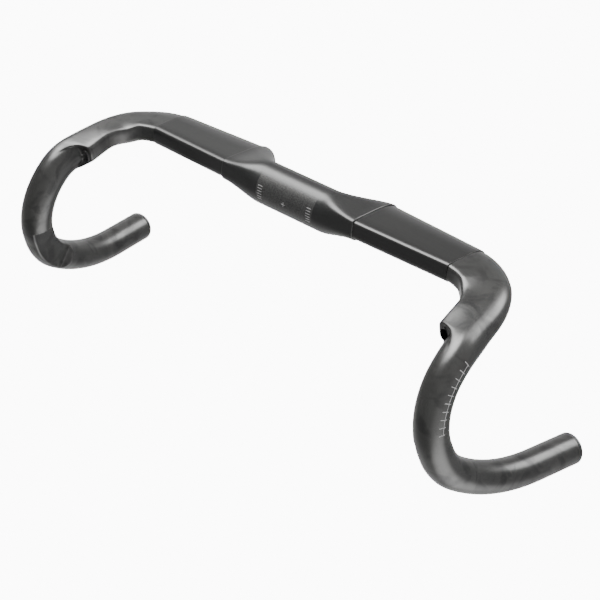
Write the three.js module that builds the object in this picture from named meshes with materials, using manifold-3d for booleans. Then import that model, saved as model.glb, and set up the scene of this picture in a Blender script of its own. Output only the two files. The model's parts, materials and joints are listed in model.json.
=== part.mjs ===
// Carbon aero drop handlebar, in millimetres.
// The origin is the centre of the round stem clamp zone. +X points to the rider's left, -Y forward
// and +Z up, with the flat tops level and the drop ends horizontal.
// Every side piece is built on the +X side and mirrored for the rider's right.

import * as THREE from 'three';
import { mergeVertices } from 'three/addons/utils/BufferGeometryUtils.js';
import Module from 'manifold-3d';

const wasm = await Module();
wasm.setup();

// ---- Driving dimensions ----

const CLAMP_RADIUS = 15.9;
const GRIP_RADIUS = 11.9;
const WALL = 1.6;
const CENTRE_WALL = 2.6;
const INNER_STEP = 1.0; // how far the centre section stands proud of the wing shells
const OUTER_STEP = 0.6; // how far the wing shells stand proud of the drops
const GAP = 0.3; // clearance between neighbouring pieces

const CLAMP_HALF_LENGTH = 28;
const INNER_SEAM = 61; // x of the seam between centre section and wing shell

// Centre line of one side: straight runs joined by arcs. A corner is [x, y, z, arc radius].
const LINE_START = [INNER_SEAM, 12, 1];
const LINE_CORNERS = [
  [173.4, 14.9, -2.8, 45],
  [183.9, -56.8, -22.8, 37],
  [184.9, -87, -53.8, 47],
  [192.6, -64.7, -102, 55],
  [203.1, -14.8, -133.6, 155],
];
const LINE_END = [216.9, 65.8, -134.9];

// Distances along that centre line from the inner seam.
const OUTER_SEAM = 77;
const CORNER_EXIT = 137.5;
const LIP = 163; // the hooded lip that ends the aero ramp
const LIP_RUN = 3; // length over which the lip drops to the round grip
const LIP_SWEEP = 12; // how far the lip runs on over the top of the bar
const LIP_UNDERCUT = 4; // how far its end face is scooped back below the tip
const FADE_LEAD = 6; // the fairing's outer side gives way this much before the lip
const FADE_RUN = 30; // and over this much more length
// Angles round the bar over which the lip changes, in degrees from the front of the section.
const LIP_TURNS = { undercut: [12, 40], sweep: [50, 85], fadeAbove: [40, 130], fadeBelow: [60, 130] };
const RECESS_START = 230;
const RECESS_END = 287;
const RECESS_EDGE = 2; // length of the step at its front end
const RECESS_SLOPE = 4; // length of the slope at its rear end
const RECESS_HALF_DEPTH = 6.9; // flat floor, measured from the centre line

// Cross-sections. front, rear, top and bottom are distances from the centre line to the surface.
// front faces forward on the tops and inwards on the drops. The others are superellipse exponents
// of the quarters, and roll leans the section, in degrees.
const CLAMP_SECTION = {
  front: CLAMP_RADIUS, rear: CLAMP_RADIUS, top: CLAMP_RADIUS, bottom: CLAMP_RADIUS,
  frontTop: 2, frontBottom: 2, back: 2, roll: 0,
};
const ROOT_SECTION = {
  front: 25.8, rear: 25, top: 8.8, bottom: 9.4, frontTop: 8, frontBottom: 2.8, back: 2.3, roll: 0,
};
const SEAM_SECTION = {
  front: 20.9, rear: 19.8, top: 8.4, bottom: 8, frontTop: 8, frontBottom: 2.8, back: 2.3, roll: 1.7,
};
const CORNER_SECTION = {
  front: 19.2, rear: 11.9, top: 11.6, bottom: 6.6, frontTop: 8, frontBottom: 1.54, back: 2.1, roll: -6.5,
};
const LIP_SECTION = {
  front: 19.8, rear: GRIP_RADIUS, top: 12.7, bottom: 12, frontTop: 6.7, frontBottom: 1.15, back: 2, roll: 3,
};
const GRIP_SECTION = {
  front: GRIP_RADIUS, rear: GRIP_RADIUS, top: GRIP_RADIUS, bottom: GRIP_RADIUS,
  frontTop: 2, frontBottom: 2, back: 2, roll: 0,
};
// Share of forward travel over which a section's front turns from forward to inwards.
const FRONT_TURN = [0.5, 0.9];
const RING_SIDES = 24;
const RING_STEP = 11; // longest distance between two rings of a body

// Bonded sleeves inside the seams.
const SLEEVE_WALL = 1.3;
const GLUE_GAP = 0.6;
const INNER_SLEEVE_REACH = [8, 20]; // into the centre section, into the wing shell
const OUTER_SLEEVE_REACH = [17, 16]; // into the wing shell, into the drop
const BEND_START = OUTER_SEAM - 4.5; // where the centre line starts to bend inside the wing shell

// Cable port below the lip, cable liner, and exit hole under the centre section.
const PORT = { side: 15.1, up: 2.6, width: 6.8, height: 11.5, wall: 0.45, from: -6, to: -1.8 };
const PORT_HOLE = { from: -8, to: 6 };
const OVAL_DIVISIONS = 6;
const LINER_RADIUS = 2.7;
const LINER_BORE = 2.3;
const LINER_SEGMENTS = 4;
const LINER_STEPS = 26;
// The liner's route: distance along the centre line, then reach to the front and up from it.
const LINER_ROUTE = [
  [LIP - 9, 13, 3],
  [LIP - 17, 10.8, 3],
  [CORNER_EXIT, 6, 2.5],
  [112, 4, 1.5],
  [92, 4, 0.6],
  [OUTER_SEAM, 4.5, 0.4],
  [40, 5, 0.4],
  [4, 4.5, 0.4],
];
// And its last places, inside the centre section.
const LINER_DESCENT = [[52, 6.8, -1], [44.5, 4.2, -4.8], [41, 3.2, -9.2]];
const EXIT = { x: 40, y: 3, radius: 4.6, grommetBore: 3.1, top: -11, bottom: -14.7 };
const GROMMET_CHAMFER = 0.5;

// Expanding end plug. Heights are measured along the drop end's axis from the plug's face.
const BORE_RADIUS = GRIP_RADIUS - WALL;
const CAP_FLANGE = 2.6;
const CAP_SPIGOT = 4;
const SCREW_RADIUS = 2.5;
const SCREW_HEAD = { radius: 4.2, depth: 1, height: 3.2, socketAcross: 4, socketDepth: 2.4 };
const EXPANDER_LENGTH = 14;
const EXPANDER_MOUTH = 7.9;
const EXPANDER_CONE = 8; // depth of its cone
const WEDGE_LENGTH = 9;
const WEDGE_FOOT_RADIUS = 8.3;
const WEDGE_TIP_WALL = 1.2;
const WEDGE_DROP = 3.4; // how far the wedge starts below the expander
const WEDGE_BAND = 1.4; // height of the wedge's straight foot
const SCREW_LENGTH = 29;
const PLUG_SIDES = 24;
const CHAMFER = 0.6;

// ---- Materials ----

function finish(color, roughness, metalness) {
  return new THREE.MeshStandardMaterial({ color, roughness, metalness });
}

const carbon = finish(0x2b2b2c, 0.3, 0.1);
const bondedCarbon = finish(0x38383a, 0.7, 0.1);
const linerPlastic = finish(0xc9c9c4, 0.45, 0);
const rubber = finish(0x1b1b1b, 0.85, 0);
const capPlastic = finish(0x1e1e1f, 0.3, 0);
const alloy = finish(0xa9acb0, 0.35, 0.9);
const steel = finish(0x6c6f73, 0.3, 1);

// ---- Centre line ----

class ArcCurve extends THREE.Curve {
  constructor(start, along, across, radius, angle) {
    super();
    Object.assign(this, { start, along, across, radius, angle });
  }

  getPoint(t, target = new THREE.Vector3()) {
    const turn = this.angle * t;
    return target
      .copy(this.start)
      .addScaledVector(this.along, this.radius * Math.sin(turn))
      .addScaledVector(this.across, this.radius * (1 - Math.cos(turn)));
  }
}

function filletedPath(start, corners, end) {
  const path = new THREE.CurvePath();
  let from = new THREE.Vector3(...start);
  corners.forEach(([x, y, z, radius], i) => {
    const corner = new THREE.Vector3(x, y, z);
    const next = new THREE.Vector3(...(corners[i + 1] ?? end).slice(0, 3));
    const along = corner.clone().sub(from).normalize();
    const away = next.sub(corner).normalize();
    const angle = along.angleTo(away);
    const setback = radius * Math.tan(angle / 2);
    const arcStart = corner.clone().addScaledVector(along, -setback);
    const across = away.clone().addScaledVector(along, -away.dot(along)).normalize();
    path.add(new THREE.LineCurve3(from, arcStart));
    path.add(new ArcCurve(arcStart, along, across, radius, angle));
    from = corner.clone().addScaledVector(away, setback);
  });
  path.add(new THREE.LineCurve3(from, new THREE.Vector3(...end)));
  return path;
}

const centreLine = filletedPath(LINE_START, LINE_CORNERS, LINE_END);
const LINE_LENGTH = centreLine.getLength();
const endPoint = new THREE.Vector3(...LINE_END);
const endAxis = centreLine.getTangent(1);

function smooth(value, low, high) {
  return THREE.MathUtils.smoothstep(value, low, high);
}

const LEFT = new THREE.Vector3(1, 0, 0);
const FORWARD = new THREE.Vector3(0, -1, 0);
const UP = new THREE.Vector3(0, 0, 1);

// The frame of a cross-section: its centre, the side axis (front on the tops, inwards on the
// drops), the up axis and the direction of travel. It starts square to the inner seam.
function frameAt(distance) {
  const share = distance / LINE_LENGTH;
  const centre = centreLine.getPoint(share);
  const travel = centreLine.getTangent(share);
  const level = travel.clone().cross(UP).normalize();
  const inward = LEFT.clone().negate().addScaledVector(travel, travel.x).normalize();
  const turned = distance > CORNER_EXIT ? 1 : smooth(-travel.y, ...FRONT_TURN);
  const side = level.lerp(inward, turned).normalize();
  const up = side.clone().cross(travel);
  const square = 1 - smooth(distance, 0, OUTER_SEAM / 2);
  return { centre, side: side.lerp(FORWARD, square), up: up.lerp(UP, square), travel };
}

function clampFrame(x) {
  const share = smooth(Math.abs(x), CLAMP_HALF_LENGTH, INNER_SEAM);
  const centre = new THREE.Vector3(x, LINE_START[1] * share, LINE_START[2] * share);
  return { centre, side: FORWARD, up: UP, travel: LEFT };
}

// ---- Cross-sections ----

function mixSections(a, b, share) {
  const mixed = {};
  for (const key of Object.keys(a)) mixed[key] = THREE.MathUtils.lerp(a[key], b[key], share);
  return mixed;
}

function grow(section, amount) {
  const { front, rear, top, bottom } = section;
  const sides = { front: front + amount, rear: rear + amount, top: top + amount, bottom: bottom + amount };
  return { ...section, ...sides };
}

// Place on the section's outline in the direction angle, as [side, up].
function outline(section, angle) {
  const cos = Math.cos(angle);
  const sin = Math.sin(angle);
  const power = cos < 0 ? section.back : sin < 0 ? section.frontBottom : section.frontTop;
  const scale = (Math.abs(cos) ** power + Math.abs(sin) ** power) ** (-1 / power);
  const side = cos * scale * (cos < 0 ? section.rear : section.front);
  const up = sin * scale * (sin < 0 ? section.bottom : section.top);
  const roll = THREE.MathUtils.degToRad(section.roll);
  return [side * Math.cos(roll) + up * Math.sin(roll), up * Math.cos(roll) - side * Math.sin(roll)];
}

function makeRing(frame, pointAt) {
  return Array.from({ length: RING_SIDES }, (_, i) => {
    const [side, up] = pointAt((2 * Math.PI * i) / RING_SIDES);
    return frame.centre.clone().addScaledVector(frame.side, side).addScaledVector(frame.up, up);
  });
}

// Distances from first to last through every stop, no further apart than RING_STEP.
function stations(...stops) {
  const result = [stops[0]];
  for (let i = 1; i < stops.length; i += 1) {
    const count = Math.ceil((stops[i] - stops[i - 1]) / RING_STEP);
    for (let k = 1; k <= count; k += 1) {
      result.push(THREE.MathUtils.lerp(stops[i - 1], stops[i], k / count));
    }
  }
  return result;
}

// ---- Bodies from rings ----

// Rings of points joined into one closed skin that runs along the outer rings and back along
// the inner ones, so both ends are closed by a flat rim.
function hollowBody(outer, inner) {
  const rings = [...outer, ...inner.toReversed()];
  const positions = rings.flat().flatMap((point) => point.toArray());
  const indices = [];
  rings.forEach((_, i) => {
    const here = i * RING_SIDES;
    const there = ((i + 1) % rings.length) * RING_SIDES;
    for (let j = 0; j < RING_SIDES; j += 1) {
      const k = (j + 1) % RING_SIDES;
      indices.push(here + j, there + j, there + k, here + j, there + k, here + k);
    }
  });
  const geometry = new THREE.BufferGeometry();
  geometry.setAttribute('position', new THREE.Float32BufferAttribute(positions, 3));
  geometry.setIndex(indices);
  return geometry;
}

function toSolid(geometry) {
  const bare = geometry.clone();
  bare.deleteAttribute('normal');
  bare.deleteAttribute('uv');
  const merged = mergeVertices(bare);
  const vertProperties = new Float32Array(merged.attributes.position.array);
  const triVerts = new Uint32Array(merged.index.array);
  return new wasm.Manifold(new wasm.Mesh({ numProp: 3, vertProperties, triVerts }));
}

function cut(geometry, tools) {
  const solid = tools.reduce((body, tool) => body.subtract(toSolid(tool)), toSolid(geometry));
  const mesh = solid.getMesh();
  const result = new THREE.BufferGeometry();
  result.setAttribute('position', new THREE.BufferAttribute(mesh.vertProperties, 3));
  result.setIndex(new THREE.BufferAttribute(mesh.triVerts, 1));
  return result;
}

function mirrored(geometry) {
  const copy = geometry.clone().scale(-1, 1, 1);
  const order = copy.index ? Array.from(copy.index.array) : [...Array(copy.attributes.position.count).keys()];
  for (let i = 0; i < order.length; i += 3) [order[i], order[i + 1]] = [order[i + 1], order[i]];
  copy.setIndex(order);
  return copy;
}

// ---- Centre section ----

function rootSection(x) {
  const share = smooth(Math.abs(x), CLAMP_HALF_LENGTH, INNER_SEAM);
  return mixSections(CLAMP_SECTION, grow(ROOT_SECTION, INNER_STEP), share);
}

function centreSection() {
  const sleeveEnd = INNER_SEAM - INNER_SLEEVE_REACH[0];
  const half = stations(CLAMP_HALF_LENGTH, sleeveEnd, INNER_SEAM);
  const stops = [...half.toReversed().map((x) => -x), ...half];
  const skin = (inset) => stops.map((x) => {
    const section = grow(rootSection(x), inset ? -CENTRE_WALL : 0);
    return makeRing(clampFrame(x), (angle) => outline(section, angle));
  });
  return cut(hollowBody(skin(false), skin(true)), [exitHole(1), exitHole(-1)]);
}

function exitHole(sign) {
  const height = 2 * CLAMP_RADIUS;
  const hole = new THREE.CylinderGeometry(EXIT.radius, EXIT.radius, height, PLUG_SIDES);
  return hole.rotateX(Math.PI / 2).translate(sign * EXIT.x, EXIT.y, -height / 2);
}

function exitGrommet() {
  const outer = EXIT.radius - GAP;
  const grommet = lathe([
    [EXIT.grommetBore, EXIT.bottom],
    [outer - GROMMET_CHAMFER, EXIT.bottom],
    [outer, EXIT.bottom + GROMMET_CHAMFER],
    [outer, EXIT.top],
    [EXIT.grommetBore, EXIT.top],
  ]);
  return grommet.rotateX(Math.PI / 2).translate(EXIT.x, EXIT.y, 0);
}

// ---- Wing shell and drop ----

function wingSection(distance) {
  return mixSections(ROOT_SECTION, grow(SEAM_SECTION, OUTER_STEP), distance / OUTER_SEAM);
}

function wingWall(distance) {
  return WALL + (OUTER_STEP * distance) / OUTER_SEAM;
}

function wingShell() {
  const stops = [GAP, OUTER_SEAM / 2, BEND_START, OUTER_SEAM];
  const skin = (inset) => stops.map((distance) => {
    const section = grow(wingSection(distance), inset ? -wingWall(distance) : 0);
    return makeRing(frameAt(distance), (angle) => outline(section, angle));
  });
  return hollowBody(skin(false), skin(true));
}

function fairingSection(distance) {
  if (distance < CORNER_EXIT) {
    return mixSections(SEAM_SECTION, CORNER_SECTION, smooth(distance, OUTER_SEAM, CORNER_EXIT));
  }
  return mixSections(CORNER_SECTION, LIP_SECTION, smooth(distance, CORNER_EXIT, LIP));
}

// How far the fairing has given way to the round grip. The lip is sharp on the inner side of the
// bar, scooped back below its tip, sweeps on over the top and fades out on the outer side.
function lipShare(distance, angle) {
  const turn = THREE.MathUtils.radToDeg(Math.atan2(Math.sin(angle), Math.cos(angle)));
  const fade = turn > 0 ? smooth(turn, ...LIP_TURNS.fadeAbove) : smooth(-turn, ...LIP_TURNS.fadeBelow);
  const sweep = LIP_SWEEP * smooth(turn, ...LIP_TURNS.sweep);
  const undercut = LIP_UNDERCUT * (1 - smooth(turn, ...LIP_TURNS.undercut));
  const start = LIP + (sweep - undercut) * (1 - fade) - FADE_LEAD * fade;
  return smooth(distance, start, start + LIP_RUN + FADE_RUN * fade);
}

function dropPoint(distance, angle, inset) {
  const wall = inset ? WALL : 0;
  const fairing = outline(grow(fairingSection(distance), -wall), angle);
  const round = outline(grow(GRIP_SECTION, -wall), angle);
  const share = lipShare(distance + wall, angle);
  const side = THREE.MathUtils.lerp(fairing[0], round[0], share);
  const up = THREE.MathUtils.lerp(fairing[1], round[1], share);
  return [Math.min(side, recessDepth(distance) - wall), up];
}

function recessDepth(distance) {
  const open = smooth(distance, RECESS_START, RECESS_START + RECESS_EDGE);
  const close = smooth(distance, RECESS_END - RECESS_SLOPE, RECESS_END);
  const outside = 2 * GRIP_RADIUS;
  const clear = distance < RECESS_START ? outside : GRIP_RADIUS;
  return THREE.MathUtils.lerp(clear, RECESS_HALF_DEPTH, open - close);
}

function drop() {
  const stops = stations(
    OUTER_SEAM + GAP, CORNER_EXIT, LIP - LIP_UNDERCUT, LIP, LIP + LIP_RUN, RECESS_START,
    RECESS_START + RECESS_EDGE, RECESS_END - RECESS_SLOPE, RECESS_END, LINE_LENGTH - CAP_FLANGE - GAP,
  );
  const skin = (inset) => stops.map((distance) => (
    makeRing(frameAt(distance), (angle) => dropPoint(distance, angle, inset))
  ));
  const hole = portTube(PORT.width, PORT.height, PORT_HOLE.from, PORT_HOLE.to);
  return cut(hollowBody(skin(false), skin(true)), [hole]);
}

// ---- Seam sleeves ----

function sleeve(stops, frameOf, boreOf) {
  const skin = (inset) => stops.map((distance) => {
    const section = grow(boreOf(distance), -GLUE_GAP - (inset ? SLEEVE_WALL : 0));
    return makeRing(frameOf(distance), (angle) => outline(section, angle));
  });
  return hollowBody(skin(false), skin(true));
}

function innerSleeve() {
  const [inward, outward] = INNER_SLEEVE_REACH;
  const stops = [-inward, 0, outward / 2, outward];
  const frameOf = (distance) => (distance < 0 ? clampFrame(INNER_SEAM + distance) : frameAt(distance));
  const boreOf = (distance) => {
    if (distance < 0) {
      const x = INNER_SEAM + distance;
      return grow(rootSection(x), -CENTRE_WALL);
    }
    return grow(wingSection(distance), -wingWall(distance));
  };
  return sleeve(stops, frameOf, boreOf);
}

function outerSleeve() {
  const [inward, outward] = OUTER_SLEEVE_REACH;
  const stops = [
    OUTER_SEAM - inward, BEND_START, OUTER_SEAM, OUTER_SEAM + outward / 2, OUTER_SEAM + outward,
  ];
  const boreOf = (distance) => {
    if (distance > OUTER_SEAM) return grow(fairingSection(distance), -WALL);
    return grow(wingSection(distance), -wingWall(distance));
  };
  return sleeve(stops, frameAt, boreOf);
}

// ---- Cable port, grommet and liner ----

function oval(width, height) {
  return new THREE.Path().absellipse(PORT.up, PORT.side, height / 2, width / 2, 0, 2 * Math.PI);
}

// An oval prism through the lip's end face, from and to measured along the bar from the lip.
function portTube(width, height, from, to, holes = []) {
  const shape = new THREE.Shape(oval(width, height).getPoints(OVAL_DIVISIONS));
  shape.holes = holes;
  const tube = new THREE.ExtrudeGeometry(shape, { depth: to - from, bevelEnabled: false });
  const { centre, side, up, travel } = frameAt(LIP);
  tube.translate(0, 0, from);
  tube.applyMatrix4(new THREE.Matrix4().makeBasis(up, side, travel).setPosition(centre));
  return tube;
}

function portGrommet() {
  const width = PORT.width - 2 * GAP;
  const height = PORT.height - 2 * GAP;
  const bore = new THREE.Path(oval(width - 2 * PORT.wall, height - 2 * PORT.wall).getPoints(OVAL_DIVISIONS));
  return portTube(width, height, PORT.from, PORT.to, [bore]);
}

function onSide(distance, side, up) {
  const frame = frameAt(distance);
  return frame.centre.addScaledVector(frame.side, side).addScaledVector(frame.up, up);
}

function cableLiner() {
  const route = new THREE.CatmullRomCurve3([
    ...LINER_ROUTE.map((place) => onSide(...place)),
    ...LINER_DESCENT.map((place) => new THREE.Vector3(...place)),
  ]);
  const ring = new THREE.Shape().absarc(0, 0, LINER_RADIUS, 0, 2 * Math.PI);
  ring.holes.push(new THREE.Path().absarc(0, 0, LINER_BORE, 0, 2 * Math.PI));
  const options = { steps: LINER_STEPS, extrudePath: route, curveSegments: LINER_SEGMENTS };
  return new THREE.ExtrudeGeometry(ring, options);
}

// ---- Expanding end plug ----

function lathe(profile) {
  const points = [...profile, profile[0]].map(([radius, height]) => new THREE.Vector2(radius, height));
  return new THREE.LatheGeometry(points, PLUG_SIDES);
}

const plugRadius = BORE_RADIUS - GAP;
const headSeat = -SCREW_HEAD.depth - SCREW_HEAD.height;
const capBottom = -CAP_FLANGE - CAP_SPIGOT;
const expanderTop = capBottom - GAP;
const expanderBottom = expanderTop - EXPANDER_LENGTH;

function plugCap() {
  const shank = SCREW_RADIUS + GAP;
  const pocket = SCREW_HEAD.radius + GAP;
  return lathe([
    [shank, capBottom],
    [plugRadius - CHAMFER, capBottom],
    [plugRadius, capBottom + CHAMFER],
    [plugRadius, -CAP_FLANGE],
    [GRIP_RADIUS, -CAP_FLANGE],
    [GRIP_RADIUS, -1.5 * CHAMFER],
    [GRIP_RADIUS - CHAMFER / 2, -CHAMFER / 2],
    [GRIP_RADIUS - 1.5 * CHAMFER, 0],
    [pocket, 0],
    [pocket, headSeat - GAP],
    [shank, headSeat - GAP],
  ]);
}

function plugExpander() {
  const shank = SCREW_RADIUS + GAP;
  return lathe([
    [EXPANDER_MOUTH, expanderBottom],
    [plugRadius, expanderBottom],
    [plugRadius, expanderTop],
    [shank, expanderTop],
    [shank, expanderBottom + EXPANDER_CONE],
  ]);
}

function plugWedge() {
  const shank = SCREW_RADIUS + GAP;
  const narrow = shank + WEDGE_TIP_WALL;
  const low = expanderBottom - WEDGE_DROP;
  return lathe([
    [shank, low],
    [WEDGE_FOOT_RADIUS - CHAMFER, low],
    [WEDGE_FOOT_RADIUS, low + CHAMFER],
    [WEDGE_FOOT_RADIUS, low + WEDGE_BAND],
    [narrow, low + WEDGE_LENGTH],
    [shank, low + WEDGE_LENGTH],
  ]);
}

function plugScrew() {
  const headTop = headSeat + SCREW_HEAD.height;
  const profile = [
    [0, -SCREW_LENGTH],
    [SCREW_RADIUS - CHAMFER, -SCREW_LENGTH],
    [SCREW_RADIUS, -SCREW_LENGTH + CHAMFER],
    [SCREW_RADIUS, headSeat],
    [SCREW_HEAD.radius, headSeat],
    [SCREW_HEAD.radius, headTop - CHAMFER],
    [SCREW_HEAD.radius - CHAMFER, headTop],
    [0, headTop],
  ];
  const body = new THREE.LatheGeometry(profile.map(([r, h]) => new THREE.Vector2(r, h)), PLUG_SIDES);
  const corner = SCREW_HEAD.socketAcross / Math.sqrt(3);
  const socket = new THREE.CylinderGeometry(corner, corner, 2 * SCREW_HEAD.socketDepth, 6);
  return cut(body, [socket.translate(0, headTop, 0)]);
}

// ---- Assembly ----

const handlebar = new THREE.Group();

function addPiece(parent, name, geometry, material) {
  const mesh = new THREE.Mesh(geometry, material);
  mesh.name = name;
  parent.add(mesh);
}

function addBothSides(name, geometry, material) {
  addPiece(handlebar, `${name}_left`, geometry, material);
  addPiece(handlebar, `${name}_right`, mirrored(geometry), material);
}

function addPlug(side, sign) {
  const plug = new THREE.Group();
  const axis = new THREE.Vector3(sign * endAxis.x, endAxis.y, endAxis.z);
  plug.position.set(sign * endPoint.x, endPoint.y, endPoint.z);
  plug.quaternion.setFromUnitVectors(new THREE.Vector3(0, 1, 0), axis);
  addPiece(plug, `plug_cap_${side}`, plugCap(), capPlastic);
  addPiece(plug, `plug_expander_${side}`, plugExpander(), rubber);
  addPiece(plug, `plug_wedge_${side}`, plugWedge(), alloy);
  addPiece(plug, `plug_screw_${side}`, plugScrew(), steel);
  handlebar.add(plug);
}

addPiece(handlebar, 'centre_section', centreSection(), carbon);
addBothSides('wing_shell', wingShell(), carbon);
addBothSides('drop', drop(), carbon);
addBothSides('inner_sleeve', innerSleeve(), bondedCarbon);
addBothSides('outer_sleeve', outerSleeve(), bondedCarbon);
addBothSides('cable_port_grommet', portGrommet(), rubber);
addBothSides('cable_liner', cableLiner(), linerPlastic);
addBothSides('exit_grommet', exitGrommet(), rubber);
addPlug('left', 1);
addPlug('right', -1);

export default handlebar;
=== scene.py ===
"""Carbon aero drop handlebar: the looks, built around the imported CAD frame.

Shapes are worked out in millimetres in the part's own frame and turned into metres when a mesh is
made. +X is the rider's left, -Y forward and +Z up. Side pieces are built on the left and mirrored.
"""

import json
import math

import bmesh
import bpy
import numpy as np
from mathutils import Matrix, Vector


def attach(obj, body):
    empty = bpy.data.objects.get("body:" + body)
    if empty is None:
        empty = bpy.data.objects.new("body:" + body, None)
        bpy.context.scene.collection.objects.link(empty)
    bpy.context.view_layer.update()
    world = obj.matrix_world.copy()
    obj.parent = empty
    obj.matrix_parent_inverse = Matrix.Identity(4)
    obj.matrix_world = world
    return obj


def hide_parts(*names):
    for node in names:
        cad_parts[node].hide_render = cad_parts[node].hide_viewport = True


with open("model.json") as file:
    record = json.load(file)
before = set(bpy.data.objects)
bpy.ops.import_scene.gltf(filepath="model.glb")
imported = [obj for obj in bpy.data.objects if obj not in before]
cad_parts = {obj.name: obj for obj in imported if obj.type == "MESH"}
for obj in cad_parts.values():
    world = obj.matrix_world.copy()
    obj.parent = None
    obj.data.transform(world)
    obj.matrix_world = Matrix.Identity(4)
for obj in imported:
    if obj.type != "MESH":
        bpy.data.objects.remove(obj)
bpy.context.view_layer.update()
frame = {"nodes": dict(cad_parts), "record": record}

# ---- Driving dimensions, in millimetres unless stated ----

MM = 0.001
CLAMP_RADIUS = 15.9
GRIP_RADIUS = 11.9
WALL = 1.6
CENTRE_WALL = 2.6
INNER_STEP = 1.0
OUTER_STEP = 0.6
GAP = 0.3

CLAMP_HALF_LENGTH = 28
INNER_SEAM = 61
LINE_START = (INNER_SEAM, 12, 1)
LINE_CORNERS = (
    ((173.4, 14.9, -2.8), 45),
    ((183.9, -56.8, -22.8), 37),
    ((184.9, -87, -53.8), 47),
    ((192.6, -64.7, -102), 55),
    ((203.1, -14.8, -133.6), 155),
)
LINE_END = (216.9, 65.8, -134.9)
FRONT_TURN = (0.5, 0.9)

# Distances along the centre line from the inner seam.
OUTER_SEAM = 77
CORNER_EXIT = 137.5
LIP = 163
LIP_RUN = 4
LIP_UNDERCUT = 4.5
LIP_CHIN = 3
FADE_LEAD = 6
FADE_RUN = 30
LIP_UNDERCUT_TURN, LIP_CHIN_TURN = (40, 85), (8, 35)
LIP_FADE_ABOVE, LIP_FADE_BELOW = (40, 130), (60, 130)
RECESS_START = 230
RECESS_END = 287
RECESS_EDGE = 2
RECESS_SLOPE = 4
RECESS_HALF_DEPTH = 6.9
RECESS_ROLL = 1.3
CAP_FLANGE = 2.6

# Cross-sections: front, rear, top and bottom reach, front-top, front-bottom and back exponent, roll.
CLAMP_SECTION = np.array((CLAMP_RADIUS,) * 4 + (2, 2, 2, 0))
ROOT_SECTION = np.array((25.8, 25, 8.8, 9.4, 8, 2.8, 2.3, 0))
SEAM_SECTION = np.array((20.9, 19.8, 8.4, 8, 8, 2.8, 2.3, 1.7))
CORNER_SECTION = np.array((19.2, 11.9, 11.6, 6.6, 8, 1.54, 2.1, -6.5))
LIP_SECTION = np.array((19.8, 11.9, 12.7, 12, 6.7, 1.15, 2, 3))
GRIP_SECTION = np.array((GRIP_RADIUS,) * 4 + (2, 2, 2, 0))

# Cable port and exit hole.
PORT_SIDE, PORT_UP, PORT_WIDTH, PORT_HEIGHT, PORT_WALL = 15.1, 2.6, 6.8, 11.5, 0.45
PORT_FROM, PORT_TO = -6, -1.8
PORT_HOLE_FROM, PORT_HOLE_TO = -8, 6
EXIT_X, EXIT_Y, EXIT_RADIUS, EXIT_BORE = 40, 3, 4.6, 3.1
EXIT_TOP, EXIT_BOTTOM = -11, -14.7

# End plug, with heights from its face along the drop end's axis.
PLUG_RADIUS = GRIP_RADIUS - WALL - GAP
CAP_BOTTOM = -6.6
SCREW_RADIUS = 2.5
SCREW_LENGTH = 29
THREAD_PITCH = 0.8
THREAD_DEPTH = 0.45
THREAD_STEPS = 6
PLAIN_SHANK = 4
SCREW_CHAMFER = 0.6
HEAD_CHAMFER = 0.2
HEAD_RADIUS, HEAD_TOP, HEAD_SEAT = 4.2, -1, -4.2
SOCKET_ACROSS, SOCKET_DEPTH = 4, 2.4
EXPANDER_TOP = CAP_BOTTOM - GAP
EXPANDER_LENGTH = 14
EXPANDER_BOTTOM = EXPANDER_TOP - EXPANDER_LENGTH
EXPANDER_MOUTH = 7.9
EXPANDER_CONE = 8
EXPANDER_GROOVES = 6
GROOVE_DEPTH = 1
WEDGE_LENGTH = 9
WEDGE_DROP = 3.4
WEDGE_BOTTOM = EXPANDER_BOTTOM - WEDGE_DROP
WEDGE_FOOT_RADIUS = 8.3
WEDGE_BAND = 1.4
WEDGE_TIP_WALL = 1.2
CAP_ROUND, EXPANDER_ROUND, WEDGE_ROUND, GROMMET_ROUND = 0.7, 0.6, 0.5, 0.5

# Printed marks: line width, and thickness above and below the surface.
INK_WIDTH = 0.45
INK_HEIGHT = 0.05
PLUS_SIZE, PLUS_ANGLE = 3.6, -5
TICK_CENTRE, TICK_LENGTH, TICK_COUNT = 22.6, 4, 6
TICK_FIRST_ANGLE, TICK_STEP = 17, 7.5
SCALE_START, SCALE_STEP, SCALE_COUNT = 175.6, 5.25, 10
SCALE_ANGLE = 167
SCALE_TICK = (SCALE_ANGLE - 17, SCALE_ANGLE + 8)

# The sanded patch of the clamp zone, and how softly it ends along and round the bar.
PATCH_HALF_LENGTH, PATCH_TOP = 26, 13
PATCH_SIDE_FADE, PATCH_TOP_FADE = 0.2, 2.5

# Mesh fineness, and the shortest edge that a cut may leave.
SLIVER = 0.002
SIDES = 144
FINE_STEP = 1.6
LIP_STEP, RECESS_STEP = 0.5, 0.4
MARK_STEP, MARK_TURN = 0.8, 4
LATHE_SIDES = 72
CENTRE_RIM, WING_RIM, DROP_RIM = 0.9, 0.15, 0.15
TUCK = 0.8

# Camera, in metres, with the lens and sensor in millimetres.
CAMERA_PLACE = (0.6295, -0.8124, 0.5074)
CAMERA_RIGHT = (0.7578, 0.6453, 0.0964)
CAMERA_UP = (-0.3885, 0.3275, 0.8613)
CAMERA_LENS, CAMERA_SENSOR = 96.4, 36

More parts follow.
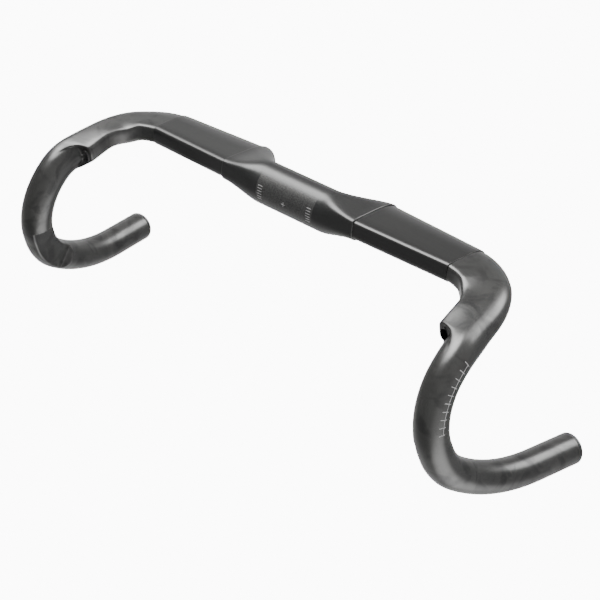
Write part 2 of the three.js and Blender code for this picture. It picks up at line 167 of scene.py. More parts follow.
# Studio, in metres. A glow is azimuth (0 behind the bar, 90 on its left), elevation, radius of its full
# strength, radius where it ends, all in degrees, and strength.
FLOOR_LEVEL = -1.3
FLOOR_GLOW = 8.0
COVE_RADIUS = 6.0
COVE_BEND = 2.0
WORLD_STRENGTH = 0.36
GLOWS = (
    (-106, 68, 8, 28, 17.0),
    (-80, 42, 3, 20, 6.0),
    (24, 38, 4, 22, 11.0),
    (10, 62, 2, 18, 5.0),
    (86, -52, 0, 38, 3.0),
    (100, -30, 5, 50, 0.7),
    (-60, -62, 5, 60, 0.5),
    (-35, -5, 5, 40, 0.45),
    (85, 15, 5, 70, 0.3),
    (142, 8, 5, 60, 0.3),
)


# ---- Centre line ----

def unit(vector):
    vector = np.asarray(vector, float)
    return vector / np.linalg.norm(vector, axis=-1, keepdims=True)


class CentreLine:
    """Straight runs joined by arcs, measured by distance from the inner seam."""

    def __init__(self, start, corners, end):
        self.runs = []
        self.length = 0.0
        here = np.array(start, float)
        stops = [np.array(corner, float) for corner, _ in corners] + [np.array(end, float)]
        for corner, following, (_, radius) in zip(stops, stops[1:], corners):
            along, away = unit(corner - here), unit(following - corner)
            angle = math.acos(along @ away)
            setback = radius * math.tan(angle / 2)
            across = unit(away - (away @ along) * along)
            arc_start = corner - along * setback
            self.add(here, along, None, np.linalg.norm(arc_start - here), 0)
            self.add(arc_start, along, across, radius * angle, radius)
            here = corner + away * setback
        self.add(here, unit(stops[-1] - here), None, np.linalg.norm(stops[-1] - here), 0)

    def add(self, start, along, across, length, radius):
        self.runs.append((self.length, start, along, across, radius))
        self.length += length

    def at(self, distance):
        """Points and directions of travel at an array of distances."""
        points = np.zeros((len(distance), 3))
        travel = np.zeros((len(distance), 3))
        for begin, start, along, across, radius in self.runs:
            here = distance >= begin - 1e-9
            rest = (distance[here] - begin)[:, None]
            if across is None:
                points[here] = start + along * rest
                travel[here] = along
            else:
                turn = rest / radius
                points[here] = start + radius * (along * np.sin(turn) + across * (1 - np.cos(turn)))
                travel[here] = along * np.cos(turn) + across * np.sin(turn)
        points[distance < 0] = self.runs[0][1] + self.runs[0][2] * distance[distance < 0][:, None]
        travel[distance < 0] = self.runs[0][2]
        return points, travel


line = CentreLine(LINE_START, LINE_CORNERS, LINE_END)
END_AXIS = line.runs[-1][2]
DROP_END = line.length - CAP_FLANGE - GAP


def smooth(value, low, high):
    share = np.clip((np.asarray(value, float) - low) / (high - low), 0, 1)
    return share * share * (3 - 2 * share)


def frames_at(distance):
    """Centres, side axes (front on the tops, inwards on the drops) and up axes."""
    distance = np.atleast_1d(np.asarray(distance, float))
    centre, travel = line.at(distance)
    level = unit(np.cross(travel, (0, 0, 1.0)))
    inward = unit(np.array((-1.0, 0, 0)) + travel * travel[:, :1])
    turned = np.where(distance > CORNER_EXIT, 1, smooth(-travel[:, 1], *FRONT_TURN))[:, None]
    side = unit(level * (1 - turned) + inward * turned)
    up = np.cross(side, travel)
    square = 1 - smooth(distance, 0, OUTER_SEAM / 2)[:, None]
    side = side * (1 - square) + np.array((0, -1.0, 0)) * square
    up = up * (1 - square) + np.array((0, 0, 1.0)) * square
    return centre, side, up


def clamp_frames(x):
    x = np.atleast_1d(np.asarray(x, float))
    share = smooth(np.abs(x), CLAMP_HALF_LENGTH, INNER_SEAM)
    centre = np.stack([x, LINE_START[1] * share, LINE_START[2] * share], 1)
    return centre, np.tile((0, -1.0, 0), (len(x), 1)), np.tile((0, 0, 1.0), (len(x), 1))


# ---- Cross-sections ----

def mix(a, b, share):
    share = np.asarray(share, float)[..., None]
    return a * (1 - share) + b * share


def hermite(value, low, high, start, end, start_slope, end_slope):
    """A cubic between two values with the given slopes at both ends."""
    t = np.clip((np.asarray(value, float) - low) / (high - low), 0, 1)[..., None]
    rise = t * t * (3 - 2 * t)
    bow = (high - low) * t * (1 - t)
    return start * (1 - rise) + end * rise + bow * ((1 - t) * start_slope - t * end_slope)


def grow(section, amount):
    """The section with its four reaches changed by amount, which may be an array of amounts."""
    amount = np.asarray(amount, float)
    grown = np.broadcast_to(section, np.broadcast_shapes(section.shape, amount.shape + (1,))).copy()
    grown[..., :4] += amount[..., None]
    return grown


def outline(section, angle):
    """Places on the sections' outlines in the directions angle, as side and up arrays."""
    cos, sin = np.cos(angle), np.sin(angle)
    front, rear, top, bottom, front_top, front_bottom, back, roll = np.moveaxis(section, -1, 0)
    power = np.where(cos < 0, back, np.where(sin < 0, front_bottom, front_top))
    scale = (np.abs(cos) ** power + np.abs(sin) ** power) ** (-1 / power)
    side = cos * scale * np.where(cos < 0, rear, front)
    up = sin * scale * np.where(sin < 0, bottom, top)
    roll = np.radians(roll)
    return side * np.cos(roll) + up * np.sin(roll), up * np.cos(roll) - side * np.sin(roll)


def place(frames, offsets):
    """Turns side and up offsets, one row per frame, into points."""
    centre, side_axis, up_axis = (axis[:, None] for axis in frames)
    side, up = (offset[..., None] for offset in offsets)
    return centre + side * side_axis + up * up_axis


def root_section(x):
    share = smooth(np.abs(x), CLAMP_HALF_LENGTH, INNER_SEAM)
    return mix(CLAMP_SECTION, grow(ROOT_SECTION, INNER_STEP), share)


def wing_section(distance):
    return mix(ROOT_SECTION, grow(SEAM_SECTION, OUTER_STEP), distance / OUTER_SEAM)


def fairing_section(distance):
    """Runs through the seam, corner and lip sections without a pause at the corner."""
    before = (CORNER_SECTION - SEAM_SECTION) / (CORNER_EXIT - OUTER_SEAM)
    after = (LIP_SECTION - CORNER_SECTION) / (LIP - CORNER_EXIT)
    slope = np.where(before * after > 0, 2 * before * after / (before + after + 1e-9), 0)
    corner = hermite(distance, OUTER_SEAM, CORNER_EXIT, SEAM_SECTION, CORNER_SECTION, 0 * slope, slope)
    ramp = hermite(distance, CORNER_EXIT, LIP, CORNER_SECTION, LIP_SECTION, slope, 0 * slope)
    return np.where((distance < CORNER_EXIT)[..., None], corner, ramp)


def lip_share(distance, angle):
    """How far the fairing has given way to the round grip."""
    turn = np.degrees(np.arctan2(np.sin(angle), np.cos(angle)))
    fade = np.where(turn > 0, smooth(turn, *LIP_FADE_ABOVE), smooth(-turn, *LIP_FADE_BELOW))
    chin = smooth(-turn, *LIP_CHIN_TURN)
    undercut = LIP_UNDERCUT * (1 - smooth(turn, *LIP_UNDERCUT_TURN)) * (1 - chin)
    start = LIP + (LIP_CHIN * chin - undercut) * (1 - fade) - FADE_LEAD * fade
    return smooth((distance - start) / (LIP_RUN + FADE_RUN * fade), 0, 1)


def recess_share(distance):
    opening = smooth(distance, RECESS_START, RECESS_START + RECESS_EDGE)
    return opening - smooth(distance, RECESS_END - RECESS_SLOPE, RECESS_END)


def flatten(side, distance, inset):
    """Cuts the recess floor into the side offsets, with its long edges rolled over."""
    share = recess_share(distance)
    clear = np.where(distance < RECESS_START, 2 * GRIP_RADIUS, GRIP_RADIUS)
    floor = clear * (1 - share) + RECESS_HALF_DEPTH * share - inset
    roll = RECESS_ROLL * share + 1e-6
    mixed = np.clip(0.5 + (floor - side) / (2 * roll), 0, 1)
    return side * mixed + floor * (1 - mixed) - roll * mixed * (1 - mixed)


def clamp_skin(x, angle, inset):
    """Points of the centre section's skin, inset from its surface."""
    section = grow(root_section(x), -inset)[:, None]
    return place(clamp_frames(x), outline(section, angle))


def wing_skin(distance, angle, inset):
    section = grow(wing_section(distance), -inset)[:, None]
    return place(frames_at(distance), outline(section, angle))


def drop_skin(distance, angle, inset):
    inset = np.broadcast_to(inset, distance.shape)[:, None]
    stretch = distance[:, None]
    fairing = outline(grow(fairing_section(stretch), -inset), angle)
    grip = outline(grow(GRIP_SECTION, -inset), angle)
    share = lip_share(stretch + inset, angle)
    side = fairing[0] * (1 - share) + grip[0] * share
    up = fairing[1] * (1 - share) + grip[1] * share
    return place(frames_at(distance), (flatten(side, stretch, inset), up))


# ---- Meshes ----

def circle(sides):
    return np.arange(sides) * 2 * np.pi / sides


def stations(*stops, step=FINE_STEP):
    result = [stops[0]]
    for low, high in zip(stops, stops[1:]):
        count = max(1, math.ceil((high - low) / step))
        result += [low + (high - low) * k / count for k in range(1, count + 1)]
    return np.array(result, float)


def rim_inset(distance, radius):
    """How far the skin draws in beside its two ends, so that the rims are rounded."""
    depth = np.clip(radius - np.minimum(distance - distance[0], distance[-1] - distance), 0, None)
    return radius - np.sqrt(radius**2 - depth**2)


def with_rims(distance, radius):
    steps = radius * np.array((0, 0.06, 0.25, 0.6, 1))
    body = distance[(distance > distance[0] + radius) & (distance < distance[-1] - radius)]
    return np.concatenate([distance[0] + steps, body, distance[-1] - steps[::-1]])


def grid_faces(rows, columns, closed):
    """Quads of a grid that wraps along its rows, and down its columns if it is closed."""
    here = np.arange(rows if closed else rows - 1)[:, None]
    there = (here + 1) % rows
    column = np.arange(columns)
    following = (column + 1) % columns
    corners = (here * columns + column, there * columns + column,
               there * columns + following, here * columns + following)
    return np.stack(corners, -1).reshape(-1, 4).tolist()


def tube(rings):
    """Rings joined in order and the last to the first, as the skin of a hollow body."""
    rings = np.asarray(rings)
    return rings.reshape(-1, 3), grid_faces(len(rings), rings.shape[1], True)


def rod(rings):
    """Rings joined in order, with a flat cap on both ends."""
    rings = np.asarray(rings)
    rows, columns = rings.shape[:2]
    caps = [list(range(columns)), list(range((rows - 1) * columns, rows * columns))[::-1]]
    return rings.reshape(-1, 3), grid_faces(rows, columns, False) + caps


def make_object(name, shape, material, mirror=False):
    points, faces = shape
    points = np.asarray(points) * MM
    if mirror:
        points = points * (-1, 1, 1)
        faces = [face[::-1] for face in faces]
    mesh = bpy.data.meshes.new(name)
    mesh.from_pydata(points.tolist(), [], faces)
    mesh.materials.append(material)
    shade(mesh)
    piece = bpy.data.objects.new(name, mesh)
    bpy.context.scene.collection.objects.link(piece)
    return piece


def shade(mesh):
    mesh.shade_smooth()
    mesh.set_sharp_from_angle(angle=math.radians(40))


def clean_rims(mesh):
    """Takes out the spare corners and slivers that a cut leaves along its rim."""
    work = bmesh.new()
    work.from_mesh(mesh)
    bmesh.ops.dissolve_verts(work, verts=[vert for vert in work.verts if len(vert.link_edges) == 2])
    bmesh.ops.dissolve_degenerate(work, dist=SLIVER * MM, edges=work.edges)
    bmesh.ops.connect_verts_concave(work, faces=[face for face in work.faces if len(face.verts) > 4])
    bmesh.ops.triangulate(work, faces=[face for face in work.faces if len(face.verts) > 4])
    work.to_mesh(mesh)
    work.free()


def cut(piece, tool):
    """Takes the tool's shape out of the piece and removes the tool."""
    modifier = piece.modifiers.new("cut", "BOOLEAN")
    modifier.object = tool
    modifier.operation = "DIFFERENCE"
    modifier.solver = "EXACT"
    bpy.context.view_layer.update()
    evaluated = piece.evaluated_get(bpy.context.evaluated_depsgraph_get())
    old, piece.data = piece.data, bpy.data.meshes.new_from_object(evaluated)
    piece.modifiers.clear()
    bpy.data.meshes.remove(old)
    bpy.data.objects.remove(tool)
    clean_rims(piece.data)
    shade(piece.data)


def settle(piece, body, slot_name, *nodes):
    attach(piece, body)
    if nodes:
        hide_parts(*nodes)


def rounded(profile, radius, steps=4):
    """A closed outline of radius and height pairs with its corners rounded."""
    points = [np.array(point, float) for point in profile]
    result = []
    for before, corner, after in zip(points[-1:] + points[:-1], points, points[1:] + points[:1]):
        reach = min(radius, np.linalg.norm(before - corner) / 2.5, np.linalg.norm(after - corner) / 2.5)
        first = corner + unit(before - corner) * reach
        last = corner + unit(after - corner) * reach
        for share in np.linspace(0, 1, steps + 1):
            result.append(first * (1 - share)**2 + 2 * corner * share * (1 - share) + last * share**2)
    return np.array(result)


def turned_rings(profile, centre, axis, dent=None, sides=LATHE_SIDES):
    """Rings of a turned shape. dent takes radius, height and angle and gives the new radius."""
    across = unit(np.cross(axis, (0, 0, 1.0) if abs(axis[2]) < 0.9 else (1.0, 0, 0)))
    upright = np.cross(across, axis)
    angle = circle(sides)
    radius = np.asarray(profile)[:, :1] + 0 * angle
    height = np.asarray(profile)[:, 1:] + 0 * angle
    if dent:
        radius = dent(radius, height, angle)
    spokes = np.cos(angle)[:, None] * across + np.sin(angle)[:, None] * upright
    return np.asarray(centre, float) + radius[..., None] * spokes + height[..., None] * axis


# ---- Materials ----

class Nodes:
    """A material with short calls for the node types used here."""

    def __init__(self, name):
        self.material = bpy.data.materials.new(name)
        self.material.use_nodes = True
        self.tree = self.material.node_tree
        self.shader = self.tree.nodes["Principled BSDF"]
        self.coords = self.tree.nodes.new("ShaderNodeTexCoord").outputs["Object"]

    def put(self, socket, value):
        if isinstance(value, bpy.types.NodeSocket):
            self.tree.links.new(value, socket)
        else:
            socket.default_value = value

    def surface(self, **values):
        for key, value in values.items():
            self.put(self.shader.inputs[key.replace("_", " ")], value)

    def noise(self, scale, detail=3.0, rough=0.5, distort=0.0, stretch=(1, 1, 1)):
        mapping = self.tree.nodes.new("ShaderNodeMapping")
        self.put(mapping.inputs["Vector"], self.coords)
        self.put(mapping.inputs["Scale"], stretch)
        node = self.tree.nodes.new("ShaderNodeTexNoise")
        values = dict(Vector=mapping.outputs["Vector"], Scale=scale, Detail=detail, Roughness=rough,
                      Distortion=distort)
        for key, value in values.items():
            self.put(node.inputs[key], value)
        return node.outputs["Fac"]

    def ramp(self, value, low, high, to_low=0.0, to_high=1.0):
        node = self.tree.nodes.new("ShaderNodeMapRange")
        node.interpolation_type = "SMOOTHSTEP"
        for socket, number in zip(node.inputs, (value, low, high, to_low, to_high)):
            self.put(socket, number)
        return node.outputs["Result"]

    def math(self, operation, a, b=0.0):
        node = self.tree.nodes.new("ShaderNodeMath")
        node.operation = operation
        self.put(node.inputs[0], a)
        self.put(node.inputs[1], b)
        return node.outputs["Value"]

    def blend(self, share, a, b):
        node = self.tree.nodes.new("ShaderNodeMixRGB")
        self.put(node.inputs["Fac"], share)
        for key, value in (("Color1", a), ("Color2", b)):
            self.put(node.inputs[key], (*value, 1) if isinstance(value, tuple) else value)
        return node.outputs["Color"]

    def bump(self, height, distance, before=None):
        node = self.tree.nodes.new("ShaderNodeBump")
        self.put(node.inputs["Height"], height)
        self.put(node.inputs["Distance"], distance)
        if before is not None:
            self.put(node.inputs["Normal"], before)
        return node.outputs["Normal"]

    def axis(self, name):
        node = self.tree.nodes.new("ShaderNodeSeparateXYZ")
        self.put(node.inputs["Vector"], self.coords)
        return node.outputs[name]


def carbon(name, dark, light, ply_depth, rough, clamp_patch=False):
    """Carbon fibre under a clear coat. ply_depth is how strongly the plies show, 0 to 1."""
    n = Nodes(name)
    clouds = n.ramp(n.noise(22, 3, 0.55, 1.0), 0.36, 0.60)
    swirls = n.ramp(n.noise(42, 2, 0.5, 1.5), 0.33, 0.53)
    grain = n.noise(1400, 2, 0.6)
    streaks = n.noise(600, 2, 0.5, 0.0, (0.12, 1, 1))
    plies = n.math("ADD", n.math("MULTIPLY", clouds, 0.45), n.math("MULTIPLY", swirls, 0.55))
    even = n.math("ADD", n.math("MULTIPLY", streaks, 0.5), n.math("MULTIPLY", grain, 0.5))
    share = n.math("ADD", n.math("MULTIPLY", plies, ply_depth), n.math("MULTIPLY", even, 1 - ply_depth))
    colour = n.blend(share, dark, light)
    gloss = n.ramp(share, 0.0, 1.0, rough + 0.06, rough)
    normal = n.bump(plies, 0.0001 * ply_depth, n.bump(even, 0.000006))
    if clamp_patch:
        side = PATCH_HALF_LENGTH * MM
        top = PATCH_TOP * MM
        width = n.ramp(n.math("ABSOLUTE", n.axis("X")), side, side + PATCH_SIDE_FADE * MM, 1.0, 0.0)
        height = n.ramp(n.axis("Z"), top - PATCH_TOP_FADE * MM, top, 1.0, 0.0)
        patch = n.math("MULTIPLY", width, height)
        sand = n.ramp(n.noise(1300, 2, 0.7), 0.35, 0.68)
        sanded = n.blend(sand, (0.045, 0.045, 0.044), (0.09, 0.09, 0.088))
        colour = n.blend(patch, colour, sanded)
        gloss = n.math("ADD", gloss, n.math("MULTIPLY", patch, 0.12))
    n.surface(Base_Color=colour, Roughness=gloss, Normal=normal, Metallic=0.7, IOR=1.5,
              Coat_Weight=0.3, Coat_Roughness=0.16)
    return n.material


def plain(name, dark, light, scale, rough, depth, metallic=0.0):
    """One even finish with slight clouding and a fine grain."""
    n = Nodes(name)
    clouds = n.ramp(n.noise(scale, 4, 0.6), 0.3, 0.7)
    n.surface(Base_Color=n.blend(clouds, dark, light), Roughness=n.ramp(clouds, 0, 1, rough, rough + 0.12),
              Normal=n.bump(n.noise(scale * 18, 2), depth), Metallic=metallic)
    return n.material


looks = dict(
    carbon=carbon("carbon_smooth", (0.022, 0.022, 0.022), (0.042, 0.042, 0.041), 0.1, 0.27),
    bonded_carbon=plain("bonded_carbon", (0.02, 0.02, 0.02), (0.05, 0.05, 0.05), 60, 0.55, 0.00002),
    rubber=plain("rubber", (0.012, 0.012, 0.012), (0.022, 0.022, 0.022), 120, 0.6, 0.00003),
    liner_plastic=plain("liner_plastic", (0.42, 0.42, 0.40), (0.55, 0.55, 0.52), 90, 0.4, 0.00001),
    cap_plastic=plain("cap_plastic", (0.016, 0.016, 0.017), (0.03, 0.03, 0.031), 140, 0.32, 0.00002),
    alloy=plain("aluminium", (0.5, 0.51, 0.53), (0.62, 0.63, 0.65), 200, 0.25, 0.00001, 1.0),
    steel=plain("black_steel", (0.12, 0.12, 0.125), (0.2, 0.2, 0.205), 200, 0.3, 0.00001, 1.0),
)
clamp_carbon = carbon("carbon_clamp", (0.022, 0.022, 0.022), (0.042, 0.042, 0.041), 0.1, 0.33, True)
moulded_carbon = carbon("carbon_moulded", (0.012, 0.012, 0.012), (0.068, 0.068, 0.066), 0.75, 0.3)
ink = plain("ink", (0.34, 0.34, 0.34), (0.42, 0.42, 0.42), 400, 0.5, 0.000005)


# ---- Bar ----

def shell(skin, distance, wall, rim):
    """A hollow shell with rounded rims from a skin function."""
    angle = circle(SIDES)
    outer = skin(distance, angle, rim_inset(distance, rim))
    inner = skin(distance, angle, wall)
    return tube(np.concatenate([outer, inner[::-1]]))


def centre_section():
    half = stations(CLAMP_HALF_LENGTH, INNER_SEAM)
    across = stations(-CLAMP_HALF_LENGTH, CLAMP_HALF_LENGTH)
    x = with_rims(np.concatenate([-half[:0:-1], across, half[1:]]), CENTRE_RIM)
    shape = shell(clamp_skin, x, np.full(len(x), CENTRE_WALL), CENTRE_RIM)
    piece = make_object("centre_section_fine", shape, clamp_carbon)
    drill = np.array([(EXIT_RADIUS, -2 * CLAMP_RADIUS), (EXIT_RADIUS, 0)])
    for sign in (1, -1):
        rings = turned_rings(drill, (sign * EXIT_X, EXIT_Y, 0), np.array((0, 0, 1.0)))
        cut(piece, make_object("drill", rod(rings), clamp_carbon))
    settle(piece, "bar", "carbon", "centre_section")


def wing_shell(label, mirror):
    """The wing shell starts just inside the centre section, so that no gap shows."""
    distance = with_rims(stations(-TUCK, OUTER_SEAM), WING_RIM)
    shape = shell(wing_skin, distance, WALL + OUTER_STEP * distance / OUTER_SEAM, WING_RIM)
    piece = make_object(f"wing_shell_{label}_fine", shape, looks["carbon"], mirror)
    settle(piece, "bar", "carbon", f"wing_shell_{label}")


def drop(label, mirror):
    """The drop starts just inside the wing shell, so that no gap shows."""
    distance = np.concatenate([
        stations(OUTER_SEAM - TUCK, LIP - 2 * LIP_UNDERCUT)[:-1],
        stations(LIP - 2 * LIP_UNDERCUT, LIP + LIP_CHIN + 2 * LIP_RUN, step=LIP_STEP)[:-1],
        stations(LIP + LIP_CHIN + 2 * LIP_RUN, RECESS_START)[:-1],
        stations(RECESS_START, RECESS_START + RECESS_EDGE, step=RECESS_STEP)[:-1],
        stations(RECESS_START + RECESS_EDGE, RECESS_END - RECESS_SLOPE)[:-1],
        stations(RECESS_END - RECESS_SLOPE, RECESS_END, step=RECESS_STEP)[:-1],
        stations(RECESS_END, DROP_END),
    ])
    distance = with_rims(distance, DROP_RIM)
    shape = shell(drop_skin, distance, np.full(len(distance), WALL), DROP_RIM)
    piece = make_object(f"drop_{label}_fine", shape, moulded_carbon, mirror)
    rings = port_rings(0, [(PORT_HOLE_FROM, 0), (PORT_HOLE_TO, 0)])
    cut(piece, make_object("punch", rod(rings), moulded_carbon, mirror))
    settle(piece, "bar", "carbon", f"drop_{label}")


def port_rings(inset, stops):
    """Oval rings through the lip's end face. A stop is a place along the bar and an inset."""
    centre, side, up = (axis[0] for axis in frames_at(LIP))
    travel = line.at(np.array([float(LIP)]))[1][0]
    angle = circle(LATHE_SIDES)
    rings = []
    for along, more in stops:
        side_offset = PORT_SIDE + (PORT_WIDTH / 2 - inset - more) * np.cos(angle)
        up_offset = PORT_UP + (PORT_HEIGHT / 2 - inset - more) * np.sin(angle)
        middle = centre + travel * along
        rings.append(middle + side_offset[:, None] * side + up_offset[:, None] * up)
    return np.array(rings)


def port_grommet(label, mirror):
    lip = PORT_WALL / 3
    outside = [(PORT_FROM, lip), (PORT_FROM + lip, 0), (PORT_TO - lip, 0), (PORT_TO, lip)]
    inside = [(along, PORT_WALL) for along in (PORT_TO - lip, PORT_FROM + lip)]
    shape = tube(port_rings(GAP, outside + inside))
    piece = make_object(f"cable_port_grommet_{label}_fine", shape, looks["rubber"], mirror)
    settle(piece, "bar", "rubber", f"cable_port_grommet_{label}")


def exit_grommet(label, mirror):
    outer = EXIT_RADIUS - GAP
    profile = [(EXIT_BORE, EXIT_BOTTOM), (outer, EXIT_BOTTOM), (outer, EXIT_TOP), (EXIT_BORE, EXIT_TOP)]
    rings = turned_rings(rounded(profile, GROMMET_ROUND), (EXIT_X, EXIT_Y, 0), np.array((0, 0, 1.0)))
    piece = make_object(f"exit_grommet_{label}_fine", tube(rings), looks["rubber"], mirror)
    settle(piece, "bar", "rubber", f"exit_grommet_{label}")


# ---- End plug ----

def plug_piece(kind, label, mirror, body, slot_name, shape):
    piece = make_object(f"plug_{kind}_{label}_fine", shape, looks[slot_name], mirror)
    settle(piece, f"{body}_{label}", slot_name, f"plug_{kind}_{label}")
    return piece


def plug_rings(profile, dent=None, sides=LATHE_SIDES):
    return turned_rings(profile, LINE_END, END_AXIS, dent, sides)


def plug_cap(label, mirror):
    shank = SCREW_RADIUS + GAP
    pocket = HEAD_RADIUS + GAP
    profile = [
        (shank, CAP_BOTTOM), (PLUG_RADIUS, CAP_BOTTOM), (PLUG_RADIUS, -CAP_FLANGE),
        (GRIP_RADIUS, -CAP_FLANGE), (GRIP_RADIUS, 0), (pocket, 0), (pocket, HEAD_SEAT - GAP),
        (shank, HEAD_SEAT - GAP),
    ]
    plug_piece("cap", label, mirror, "plug", "cap_plastic", tube(plug_rings(rounded(profile, CAP_ROUND))))


def plug_expander(label, mirror):
    shank = SCREW_RADIUS + GAP
    profile = rounded([
        (EXPANDER_MOUTH, EXPANDER_BOTTOM), (PLUG_RADIUS, EXPANDER_BOTTOM), (PLUG_RADIUS, EXPANDER_TOP),
        (shank, EXPANDER_TOP), (shank, EXPANDER_BOTTOM + EXPANDER_CONE),
    ], EXPANDER_ROUND)

    def grooves(radius, height, angle):
        wave = np.cos(EXPANDER_GROOVES * angle)
        dented = radius - GROOVE_DEPTH * smooth(wave, 0.8, 0.95)
        return np.where(radius > EXPANDER_MOUTH + GROOVE_DEPTH, dented, radius)

    shape = tube(plug_rings(profile, grooves, 4 * LATHE_SIDES))
    plug_piece("expander", label, mirror, "plug", "rubber", shape)


def plug_wedge(label, mirror):
    shank = SCREW_RADIUS + GAP
    top = WEDGE_BOTTOM + WEDGE_LENGTH
    profile = rounded([
        (shank, WEDGE_BOTTOM), (WEDGE_FOOT_RADIUS, WEDGE_BOTTOM),
        (WEDGE_FOOT_RADIUS, WEDGE_BOTTOM + WEDGE_BAND), (shank + WEDGE_TIP_WALL, top), (shank, top),
    ], WEDGE_ROUND)
    plug_piece("wedge", label, mirror, "wedge", "alloy", tube(plug_rings(profile)))


def plug_screw(label, mirror):
    """Both threads are right-handed, so the mirrored one is drawn the other way round."""
    hand = -1 if mirror else 1
    tip = [(SCREW_RADIUS - SCREW_CHAMFER, -SCREW_LENGTH), (SCREW_RADIUS, -SCREW_LENGTH + SCREW_CHAMFER)]
    heights = stations(-SCREW_LENGTH + SCREW_CHAMFER, HEAD_SEAT, step=THREAD_PITCH / THREAD_STEPS)
    shank = [(SCREW_RADIUS, height) for height in heights[1:]]
    head = [
        (HEAD_RADIUS, HEAD_SEAT), (HEAD_RADIUS, HEAD_TOP - SCREW_CHAMFER),
        (HEAD_RADIUS - HEAD_CHAMFER, HEAD_TOP - HEAD_CHAMFER), (HEAD_RADIUS - SCREW_CHAMFER, HEAD_TOP),
    ]

    def thread(radius, height, angle):
        turn = height / THREAD_PITCH + hand * angle / (2 * np.pi)
        root = np.abs(turn - np.round(turn)) * 2 * THREAD_DEPTH
        plain_end = smooth(height, HEAD_SEAT - PLAIN_SHANK - 1, HEAD_SEAT - PLAIN_SHANK)
        return np.where(radius > SCREW_RADIUS, radius, radius - root * (1 - plain_end))

    rings = plug_rings(np.array(tip + shank + head), thread, 48)
    piece = plug_piece("screw", label, mirror, "screw", "steel", rod(rings))
    corner = SOCKET_ACROSS / math.sqrt(3)
    hexagon = plug_rings(np.array([(corner, HEAD_TOP - SOCKET_DEPTH), (corner, 1)]), sides=6)
    cut(piece, make_object("hexagon", rod(hexagon), looks["steel"], mirror))


# ---- Printed marks ----

def print_mark(name, skin, along, around, mirror=False):
    """A thin slab of ink on a skin, between two places along the bar and two angles round it."""
    distance = np.linspace(*along, max(2, round((along[1] - along[0]) / MARK_STEP)))
    angle = np.radians(np.linspace(*around, max(2, round((around[1] - around[0]) / MARK_TURN))))
    raised = skin(distance, angle, np.full(len(distance), -INK_HEIGHT))
    sunk = skin(distance, angle, np.full(len(distance), INK_HEIGHT))
    rings = np.concatenate([raised, sunk[:, ::-1]], 1)
    piece = make_object(name, rod(rings), ink, mirror)
    settle(piece, "bar", "carbon")


def degrees_of(length, radius):
    return math.degrees(length / radius)


def clamp_marks():
    """A cross in the middle of the clamp zone's front, and a row of bars on each side of it."""
    reach, half = PLUS_SIZE / 2, INK_WIDTH / 2
    turn = degrees_of(half, CLAMP_RADIUS)
    span = degrees_of(reach, CLAMP_RADIUS)
    print_mark("plus_level", clamp_skin, (-reach, reach), (PLUS_ANGLE - turn, PLUS_ANGLE + turn))
    print_mark("plus_upright", clamp_skin, (-half, half), (PLUS_ANGLE - span, PLUS_ANGLE + span))
    for centre, label in ((TICK_CENTRE, "left"), (-TICK_CENTRE, "right")):
        ends = (centre - TICK_LENGTH / 2, centre + TICK_LENGTH / 2)
        for k in range(TICK_COUNT):
            angle = TICK_FIRST_ANGLE - TICK_STEP * k
            print_mark(f"clamp_tick_{label}_{k}", clamp_skin, ends, (angle - turn, angle + turn))


def drop_scale():
    """A ruled scale down the outer side of the left drop."""
    half = INK_WIDTH / 2
    turn = degrees_of(half, GRIP_RADIUS)
    end = SCALE_START + SCALE_STEP * (SCALE_COUNT - 1)
    print_mark("scale_spine", drop_skin, (SCALE_START, end), (SCALE_ANGLE - turn, SCALE_ANGLE + turn))
    for k in range(SCALE_COUNT):
        middle = SCALE_START + SCALE_STEP * k
        print_mark(f"scale_tick_{k}", drop_skin, (middle - half, middle + half), SCALE_TICK)


# ---- Camera, floor and light ----

def add_camera():
    data = bpy.data.cameras.new("camera")
    data.lens = CAMERA_LENS
    data.sensor_width = CAMERA_SENSOR
    right, up = Vector(CAMERA_RIGHT), Vector(CAMERA_UP)
    camera = bpy.data.objects.new("camera", data)
    turned = Matrix((right, up, right.cross(up))).transposed().to_4x4()
    camera.matrix_world = Matrix.Translation(CAMERA_PLACE) @ turned
    bpy.context.scene.collection.objects.link(camera)
    bpy.context.scene.camera = camera


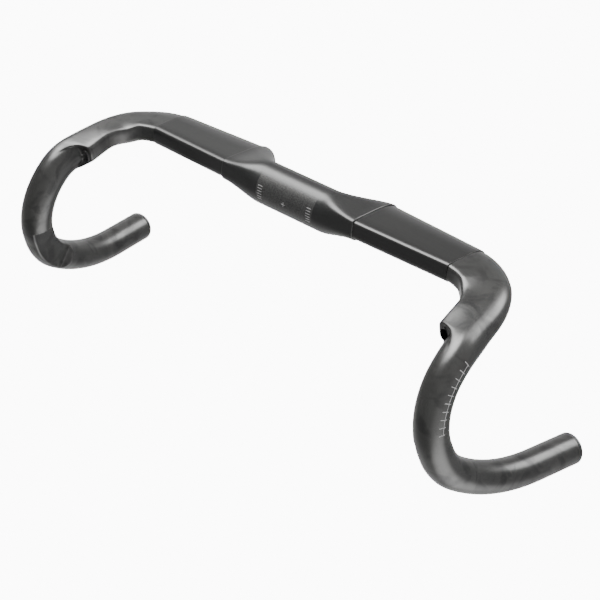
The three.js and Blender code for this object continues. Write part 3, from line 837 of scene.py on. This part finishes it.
def add_cove():
    """A pale floor that curves up into a dome. The bar neither mirrors it nor is lit by it."""
    turn = np.linspace(0, np.pi / 2, 13)
    straight = COVE_RADIUS - COVE_BEND
    bend = np.stack([straight + COVE_BEND * np.sin(turn), COVE_BEND * (1 - np.cos(turn))], 1)
    dome = np.stack([COVE_RADIUS * np.cos(turn), COVE_BEND + COVE_RADIUS * np.sin(turn)], 1)
    profile = np.concatenate([[(0.1, 0)], bend, dome[1:-1]])
    rings = turned_rings(profile / MM, (0, 0, FLOOR_LEVEL / MM), np.array((0, 0, 1.0)))
    n = Nodes("pale_cove")
    pale = n.blend(n.noise(1.5, 2), (0.92, 0.92, 0.92), (0.94, 0.94, 0.94))
    n.surface(Base_Color=pale, Roughness=0.9, Emission_Color=(1, 1, 1, 1), Emission_Strength=FLOOR_GLOW)
    cove = make_object("cove", rod(rings), n.material)
    cove.visible_glossy = False
    cove.visible_diffuse = False
    cove.visible_shadow = False


def add_world():
    """Dim even light with soft round glows in it, as large softboxes far away would give."""
    world = bpy.data.worlds.new("world")
    world.use_nodes = True
    tree = world.node_tree
    coords = tree.nodes.new("ShaderNodeTexCoord").outputs["Generated"]
    total = None
    for azimuth, elevation, inner, outer, strength in GLOWS:
        turn, lift = math.radians(azimuth), math.radians(elevation)
        dot = tree.nodes.new("ShaderNodeVectorMath")
        dot.operation = "DOT_PRODUCT"
        dot.inputs[1].default_value = (
            math.sin(turn) * math.cos(lift), math.cos(turn) * math.cos(lift), math.sin(lift)
        )
        fade = tree.nodes.new("ShaderNodeMapRange")
        fade.interpolation_type = "SMOOTHSTEP"
        edges = (math.cos(math.radians(outer)), math.cos(math.radians(inner)), 0, strength)
        for socket, value in zip(list(fade.inputs)[1:5], edges):
            socket.default_value = value
        tree.links.new(coords, dot.inputs[0])
        tree.links.new(dot.outputs["Value"], fade.inputs[0])
        add = tree.nodes.new("ShaderNodeMath")
        tree.links.new(fade.outputs["Result"], add.inputs[0])
        if total is None:
            add.inputs[1].default_value = WORLD_STRENGTH
        else:
            tree.links.new(total, add.inputs[1])
        total = add.outputs["Value"]
    tree.links.new(total, tree.nodes["Background"].inputs["Strength"])
    tree.nodes["Background"].inputs["Color"].default_value = (1, 1, 1, 1)
    bpy.context.scene.world = world


# ---- Assembly ----

SIDE_PIECES = (
    wing_shell, drop, port_grommet, exit_grommet, plug_cap, plug_expander, plug_wedge, plug_screw,
)

slot_names = {part["node"]: part["material_slot"] for part in frame["record"]["subparts"]}
for name, node in frame["nodes"].items():
    for slot in node.material_slots:
        slot.material = looks[slot_names[name]]

centre_section()
for label, mirror in (("left", False), ("right", True)):
    for build in SIDE_PIECES:
        build(label, mirror)
clamp_marks()
drop_scale()
add_camera()
add_cove()
add_world()
